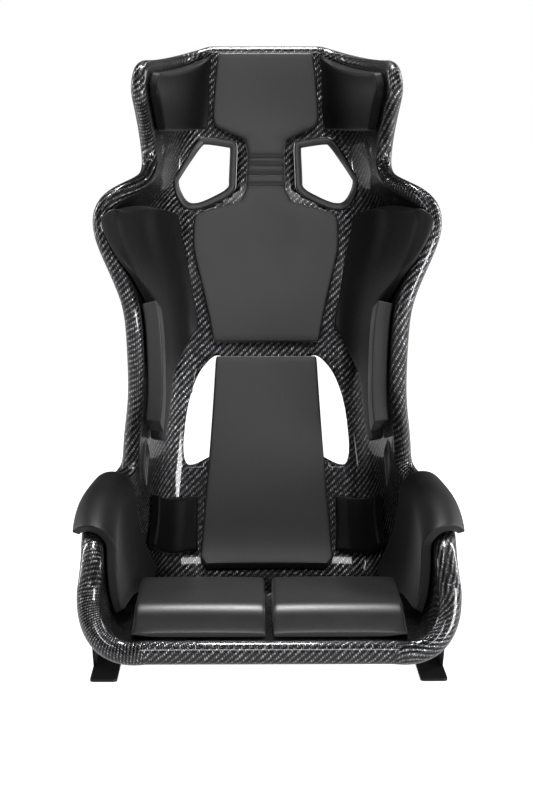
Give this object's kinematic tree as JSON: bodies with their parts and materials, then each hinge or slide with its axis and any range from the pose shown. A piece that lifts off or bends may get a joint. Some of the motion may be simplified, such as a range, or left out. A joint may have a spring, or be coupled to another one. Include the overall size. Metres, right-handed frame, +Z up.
{
  "type": "racing bucket seat",
  "caption": "Carbon racing bucket seat with head and shoulder wings, moulded pads, belt openings and steel side mounts.",
  "frame": {"origin": "centre of the bounding box on the plane under the bracket feet", "axes": "+X to the right of the picture taken from the front (the occupant's left), -Y the way the occupant faces, +Z up"},
  "size_m": [0.5916, 0.6342, 0.9652],
  "materials": {
    "carbon": "woven carbon under clear gloss coat",
    "cover": "black satin cover moulded over foam",
    "rubber": "matt black rubber edge trim",
    "hook_tape": "black hook-and-loop tape",
    "black_steel": "black powder-coated steel",
    "zinc": "zinc plated"
  },
  "bodies": {
    "root": {"head_chest_pad": "cover", "head_side_pad_left": "cover", "head_side_pad_right": "cover", "insert_left_1": "zinc", "insert_left_2": "zinc", "insert_left_3": "zinc", "insert_left_4": "zinc", "insert_right_1": "zinc", "insert_right_2": "zinc", "insert_right_3": "zinc", "insert_right_4": "zinc", "kidney_pad_left": "cover", "kidney_pad_right": "cover", "lap_belt_trim_left": "rubber", "lap_belt_trim_right": "rubber", "lower_back_pad": "cover", "screw_left_1": "zinc", "screw_left_2": "zinc", "screw_left_3": "zinc", "screw_left_4": "zinc", "screw_right_1": "zinc", "screw_right_2": "zinc", "screw_right_3": "zinc", "screw_right_4": "zinc", "seat_shell": "carbon", "shoulder_belt_trim_left": "rubber", "shoulder_belt_trim_right": "rubber", "shoulder_bolster_left": "cover", "shoulder_bolster_right": "cover", "side_bracket_left": "black_steel", "side_bracket_right": "black_steel", "tape_back": "hook_tape", "tape_chest": "hook_tape", "tape_cushion_left": "hook_tape", "tape_cushion_right": "hook_tape", "tape_head": "hook_tape", "tape_head_side_left": "hook_tape", "tape_head_side_right": "hook_tape", "tape_shoulder_left": "hook_tape", "tape_shoulder_right": "hook_tape", "thigh_bolster_left": "cover", "thigh_bolster_right": "cover", "thigh_cushion_left": "cover", "thigh_cushion_right": "cover", "waist_pad_left": "cover", "waist_pad_right": "cover", "washer_left_1": "zinc", "washer_left_2": "zinc", "washer_left_3": "zinc", "washer_left_4": "zinc", "washer_right_1": "zinc", "washer_right_2": "zinc", "washer_right_3": "zinc", "washer_right_4": "zinc"}
  },
  "joints": []
}
